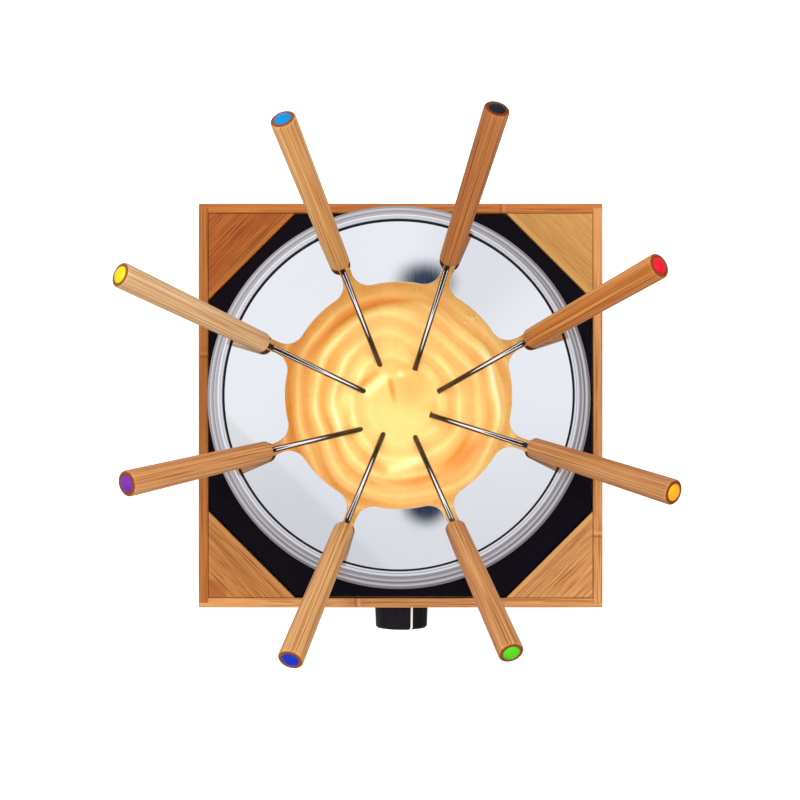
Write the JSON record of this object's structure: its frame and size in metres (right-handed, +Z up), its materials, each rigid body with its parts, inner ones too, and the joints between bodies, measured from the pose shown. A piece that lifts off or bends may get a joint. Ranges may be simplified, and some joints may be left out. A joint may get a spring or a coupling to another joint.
{
  "type": "fondue pot set",
  "caption": "Electric fondue set: square bamboo housing with a black octagonal heater deck and control knob, round steel pot, slotted fork ring and long forks with coloured caps.",
  "frame": {"origin": "centre of the footprint, on the surface that the feet stand on", "axes": "+Z up; -Y is the front with the control knob; +X is the user's right"},
  "size_m": [0.2813, 0.2796, 0.2262],
  "materials": {
    "bamboo_board": "fine-grained laminated bamboo, clear satin lacquer",
    "bamboo_panel": "bamboo strips laid parallel to the cut corner, clear satin lacquer",
    "bamboo_handle": "turned bamboo, clear satin lacquer",
    "inner_wood": "sawn wood, unfinished",
    "deck_enamel": "black gloss enamel on pressed steel",
    "mirror_steel": "mirror-polished stainless steel",
    "pot_steel": "polished stainless steel",
    "pot_aluminium": "plain aluminium core",
    "fork_steel": "polished stainless steel rod",
    "cast_plate": "cast, black non-stick coating",
    "element_sheath": "heat-darkened tube",
    "shield_sheet": "plain galvanised sheet",
    "screw_zinc": "zinc-plated",
    "nut_brass": "plain",
    "thermostat_case": "moulded phenolic",
    "terminal_ceramic": "unglazed",
    "black_plastic": "moulded",
    "cover_paint": "matt black powder coat",
    "foot_rubber": "matt",
    "seal_silicone": "soft black silicone",
    "knob_plastic": "satin black with moulded flutes",
    "pointer_white": "white inlay",
    "cap_light_blue": "gloss",
    "cap_black": "gloss",
    "cap_red": "gloss",
    "cap_orange": "gloss",
    "cap_green": "gloss",
    "cap_dark_blue": "gloss",
    "cap_purple": "gloss",
    "cap_yellow": "gloss"
  },
  "bodies": {
    "base": {"back_board": "bamboo_board", "base_screws": "screw_zinc", "bottom_cover": "cover_paint", "cord_gland": "black_plastic", "corner_panel_back_left": "bamboo_panel", "corner_panel_back_right": "bamboo_panel", "corner_panel_front_left": "bamboo_panel", "corner_panel_front_right": "bamboo_panel", "front_board": "bamboo_board", "heat_shield": "shield_sheet", "heater_deck": "deck_enamel", "heater_screws": "screw_zinc", "heating_element": "element_sheath", "hot_plate": "cast_plate", "inner_wood": "inner_wood", "left_board": "bamboo_board", "plate_seal": "seal_silicone", "right_board": "bamboo_board", "rubber_feet": "foot_rubber", "terminal_block": "terminal_ceramic", "thermal_fuse": "screw_zinc", "thermostat_body": "thermostat_case", "thermostat_bracket": "shield_sheet", "thermostat_nut": "nut_brass"},
    "knob": {"knob_body": "knob_plastic", "knob_pointer": "pointer_white", "thermostat_spindle": "screw_zinc"},
    "pot": {"pot_rim": "pot_steel", "pot_side": "pot_steel", "pot_bowl": "pot_steel", "pot_floor": "pot_steel", "pot_core": "pot_aluminium", "pot_base_cap": "pot_steel"},
    "fork_ring": {"ring_plate": "mirror_steel", "ring_rim": "mirror_steel", "ring_gasket": "seal_silicone"},
    "fork_light_blue": {"fork_steel_light_blue": "fork_steel", "fork_handle_light_blue": "bamboo_handle", "fork_cap_light_blue": "cap_light_blue"},
    "fork_black": {"fork_steel_black": "fork_steel", "fork_handle_black": "bamboo_handle", "fork_cap_black": "cap_black"},
    "fork_red": {"fork_steel_red": "fork_steel", "fork_handle_red": "bamboo_handle", "fork_cap_red": "cap_red"},
    "fork_orange": {"fork_steel_orange": "fork_steel", "fork_handle_orange": "bamboo_handle", "fork_cap_orange": "cap_orange"},
    "fork_green": {"fork_steel_green": "fork_steel", "fork_handle_green": "bamboo_handle", "fork_cap_green": "cap_green"},
    "fork_dark_blue": {"fork_steel_dark_blue": "fork_steel", "fork_handle_dark_blue": "bamboo_handle", "fork_cap_dark_blue": "cap_dark_blue"},
    "fork_purple": {"fork_steel_purple": "fork_steel", "fork_handle_purple": "bamboo_handle", "fork_cap_purple": "cap_purple"},
    "fork_yellow": {"fork_steel_yellow": "fork_steel", "fork_handle_yellow": "bamboo_handle", "fork_cap_yellow": "cap_yellow"}
  },
  "joints": [
    {"name": "knob_turn", "type": "hinge", "parent": "base", "child": "knob", "pos_m": [0, -0.1225, 0.036], "axis": [0, 1, 0], "range_deg": [-159, 111]},
    {"name": "pot_lift", "type": "slide", "parent": "base", "child": "pot", "axis": [0, 0, 1], "range_m": [0, 0.12]},
    {"name": "ring_lift", "type": "slide", "parent": "pot", "child": "fork_ring", "axis": [0, 0, 1], "range_m": [0, 0.14]},
    {"name": "fork_light_blue_lift", "type": "slide", "parent": "fork_ring", "child": "fork_light_blue", "axis": [0, 0, 1], "range_m": [0, 0.1]},
    {"name": "fork_black_lift", "type": "slide", "parent": "fork_ring", "child": "fork_black", "axis": [0, 0, 1], "range_m": [0, 0.1]},
    {"name": "fork_red_lift", "type": "slide", "parent": "fork_ring", "child": "fork_red", "axis": [0, 0, 1], "range_m": [0, 0.1]},
    {"name": "fork_orange_lift", "type": "slide", "parent": "fork_ring", "child": "fork_orange", "axis": [0, 0, 1], "range_m": [0, 0.1]},
    {"name": "fork_green_lift", "type": "slide", "parent": "fork_ring", "child": "fork_green", "axis": [0, 0, 1], "range_m": [0, 0.1]},
    {"name": "fork_dark_blue_lift", "type": "slide", "parent": "fork_ring", "child": "fork_dark_blue", "axis": [0, 0, 1], "range_m": [0, 0.1]},
    {"name": "fork_purple_lift", "type": "slide", "parent": "fork_ring", "child": "fork_purple", "axis": [0, 0, 1], "range_m": [0, 0.1]},
    {"name": "fork_yellow_lift", "type": "slide", "parent": "fork_ring", "child": "fork_yellow", "axis": [0, 0, 1], "range_m": [0, 0.1]}
  ]
}
